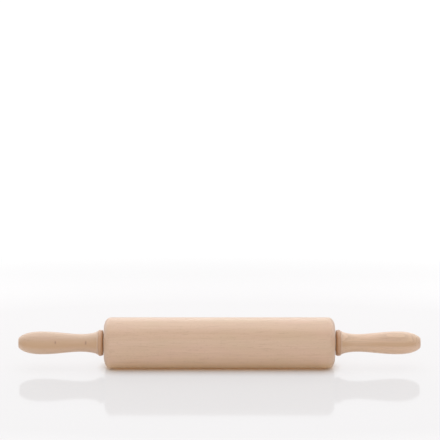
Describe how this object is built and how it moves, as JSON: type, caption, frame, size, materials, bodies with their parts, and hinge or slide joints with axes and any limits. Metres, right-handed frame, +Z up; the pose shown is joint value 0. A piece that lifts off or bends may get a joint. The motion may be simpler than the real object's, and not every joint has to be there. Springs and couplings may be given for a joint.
{
  "type": "rolling pin",
  "caption": "Beech rolling pin: a plain round barrel with domed ends turns on ball bearings between two slim turned handles with collars.",
  "frame": {"origin": "on the surface that the barrel rests on, below the middle of the barrel", "axes": "+X along the pin towards the right handle as the picture shows it, +Z up"},
  "size_m": [0.433, 0.055, 0.055],
  "materials": {
    "barrel_beech": "fine sanded bare beech, satin, with faint lengthwise grain",
    "handle_beech": "turned and sanded bare beech, satin",
    "axle_steel": "drawn bright steel rod with rolled threads",
    "bearing_steel": "ground bearing steel, faintly oiled",
    "ball_steel": "polished bearing balls",
    "shield_steel": "pressed sheet steel, satin",
    "cage_nylon": "moulded natural nylon",
    "zinc_plated_steel": "bright zinc plate",
    "insert_brass": "machined brass"
  },
  "bodies": {
    "barrel": {"barrel": "barrel_beech", "left_bearing_outer_ring": "bearing_steel", "left_bearing_inboard_shield": "shield_steel", "left_bearing_outboard_shield": "shield_steel", "right_bearing_outer_ring": "bearing_steel", "right_bearing_inboard_shield": "shield_steel", "right_bearing_outboard_shield": "shield_steel"},
    "handles": {"axle": "axle_steel", "left_bearing_inner_ring": "bearing_steel", "left_axle_washer": "zinc_plated_steel", "left_axle_nut": "zinc_plated_steel", "left_handle_insert": "insert_brass", "left_handle": "handle_beech", "right_bearing_inner_ring": "bearing_steel", "right_axle_washer": "zinc_plated_steel", "right_axle_nut": "zinc_plated_steel", "right_handle_insert": "insert_brass", "right_handle": "handle_beech"},
    "left_ball_set": {"left_bearing_balls": "ball_steel", "left_bearing_cage": "cage_nylon"},
    "right_ball_set": {"right_bearing_balls": "ball_steel", "right_bearing_cage": "cage_nylon"}
  },
  "joints": [
    {"name": "handles_spin", "type": "hinge", "parent": "barrel", "child": "handles", "pos_m": [0, 0, 0.0275], "axis": [1, 0, 0], "continuous": true},
    {"name": "left_cage_spin", "type": "hinge", "parent": "barrel", "child": "left_ball_set", "pos_m": [-0.119, 0, 0.0275], "axis": [1, 0, 0], "continuous": true},
    {"name": "right_cage_spin", "type": "hinge", "parent": "barrel", "child": "right_ball_set", "pos_m": [0.119, 0, 0.0275], "axis": [1, 0, 0], "continuous": true}
  ],
  "couplings": [
    {"joint": "left_cage_spin", "follows": "handles_spin", "ratio": 0.3677},
    {"joint": "right_cage_spin", "follows": "handles_spin", "ratio": 0.3677}
  ]
}
